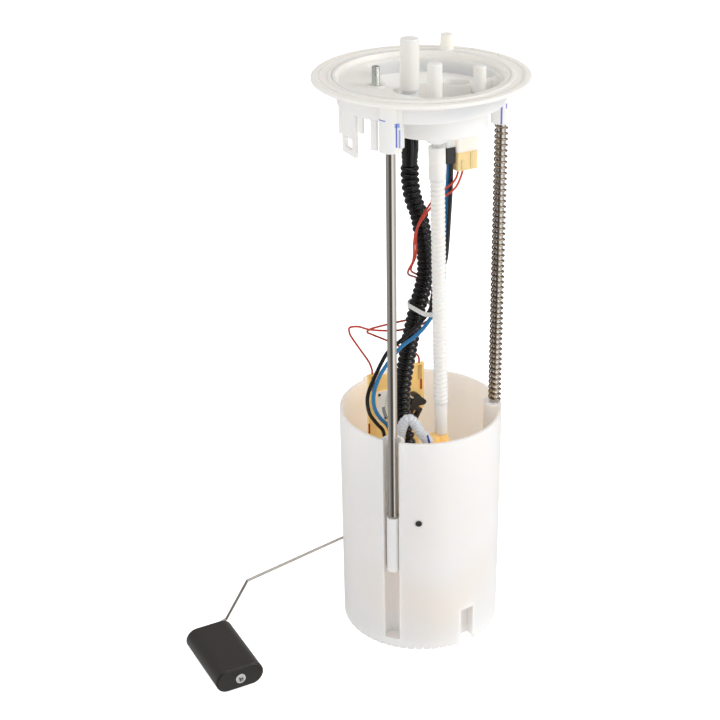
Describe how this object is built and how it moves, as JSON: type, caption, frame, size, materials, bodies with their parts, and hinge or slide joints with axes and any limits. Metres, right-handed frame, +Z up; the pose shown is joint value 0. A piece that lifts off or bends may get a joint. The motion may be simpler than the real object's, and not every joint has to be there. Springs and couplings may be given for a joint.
{
  "type": "fuel pump module",
  "caption": "In-tank fuel pump module: round flange sprung on steel guide rods over a swirl cup with electric pump, corrugated hoses and a float arm level sender.",
  "frame": {"origin": "centre line of the flange and the cup, on the plane that the cup stands on", "axes": "+Z up along the guide rods towards the flange; +Y along the float arm's pivot, away from the sender's face; the float hangs out towards -X"},
  "size_m": [0.2751, 0.156, 0.4765],
  "materials": {
    "white_acetal": "moulded, slightly translucent, soft sheen",
    "cup_acetal": "moulded, translucent, satin",
    "cap_plastic": "soft translucent cap plastic",
    "tube_nylon": "translucent corrugated tube",
    "jet_hose_nylon": "pale blue-white corrugated tube",
    "black_hose": "glossy corrugated nylon",
    "black_plastic": "moulded",
    "amber_acetal": "moulded, warm amber",
    "rod_steel": "ground rod",
    "spring_steel": "drawn wire, dark oil-tempered",
    "stud_steel": "zinc plated thread",
    "wire_steel": "drawn wire",
    "contact_metal": "bright sprung contact strip",
    "terminal_brass": "stamped",
    "ceramic_card": "alumina card with printed resistor",
    "float_foam": "moulded foam rubber, matte",
    "lead_black": "extruded insulation",
    "lead_blue": "extruded insulation",
    "lead_red": "extruded insulation",
    "strap_nylon": "nylon strap",
    "pump_steel": "rolled can",
    "magnet_ferrite": "sintered ferrite",
    "lamination_steel": "stacked laminations",
    "copper_winding": "enamelled copper",
    "carbon": "pressed carbon",
    "bronze": "sintered bush",
    "impeller_plastic": "phenolic",
    "mesh_fabric": "woven nylon mesh",
    "dark_rubber": "moulded"
  },
  "bodies": {
    "reservoir": {"reservoir_cup": "cup_acetal", "side_peg": "dark_rubber", "pump_carrier": "amber_acetal", "pump_isolators": "dark_rubber", "pump_can": "pump_steel", "pump_inlet_cover": "black_plastic", "pump_chamber_plate": "black_plastic", "shaft_bushes": "bronze", "pump_magnets": "magnet_ferrite", "brushes": "carbon", "brush_springs": "terminal_brass", "pump_outlet_cover": "black_plastic", "outlet_manifold": "black_plastic", "pressure_regulator": "pump_steel", "jet_hose_nipple": "amber_acetal", "jet_hose": "jet_hose_nylon", "jet_pump_body": "amber_acetal", "jet_nozzle": "amber_acetal", "inlet_strainer": "mesh_fabric", "sender_board": "amber_acetal", "resistor_card": "ceramic_card", "sender_terminals": "contact_metal", "pump_plug": "black_plastic", "feed_hose": "black_hose", "return_tube": "tube_nylon", "cable_tie": "strap_nylon", "power_lead_black": "lead_black", "power_lead_blue": "lead_blue", "signal_lead_a": "lead_red", "signal_lead_b": "lead_red", "coil_spring": "spring_steel"},
    "flange": {"flange_plate": "white_acetal", "flange_terminals": "terminal_brass", "feed_port_cap": "cap_plastic", "return_port_cap": "cap_plastic", "vent_port_cap": "cap_plastic", "ground_stud": "stud_steel", "front_guide_rod": "rod_steel", "rear_guide_rod": "rod_steel", "rod_shoes": "white_acetal", "feed_hose_cuff": "black_hose", "signal_connector": "amber_acetal", "power_connector": "black_plastic"},
    "sender_arm": {"wiper_carrier": "black_plastic", "wiper_contact": "contact_metal", "float_arm": "wire_steel", "float_clip": "wire_steel"},
    "float_body": {"float": "float_foam"},
    "pump_rotor": {"impeller": "impeller_plastic", "pump_shaft": "rod_steel", "pump_armature": "lamination_steel", "armature_windings": "copper_winding", "commutator": "carbon"},
    "foot_valve": {"foot_valve_disc": "black_plastic"},
    "check_valve": {"outlet_check_valve": "dark_rubber"}
  },
  "joints": [
    {"name": "flange_slide", "type": "slide", "parent": "reservoir", "child": "flange", "axis": [0, 0, 1], "range_m": [-0.06, 0], "stiffness_N_per_m": 300, "springref_m": 0.05, "deforming": ["coil_spring", "feed_hose", "return_tube", "cable_tie", "power_lead_black", "power_lead_blue", "signal_lead_a", "signal_lead_b"]},
    {"name": "arm_pivot", "type": "hinge", "parent": "reservoir", "child": "sender_arm", "pos_m": [0.007, 0.033, 0.179], "axis": [0, 1, 0], "range_deg": [0, 60]},
    {"name": "float_swivel", "type": "hinge", "parent": "sender_arm", "child": "float_body", "pos_m": [-0.1776, 0, 0.0133], "axis": [0, 1, 0], "continuous": true},
    {"name": "rotor_spin", "type": "hinge", "parent": "reservoir", "child": "pump_rotor", "pos_m": [-0.014, 0.005, 0.07], "axis": [0, 0, 1], "continuous": true},
    {"name": "foot_valve_lift", "type": "slide", "parent": "reservoir", "child": "foot_valve", "axis": [0, 0, 1], "range_m": [0, 0.002]},
    {"name": "check_valve_lift", "type": "slide", "parent": "reservoir", "child": "check_valve", "axis": [0, 0, 1], "range_m": [0, 0.002]}
  ]
}
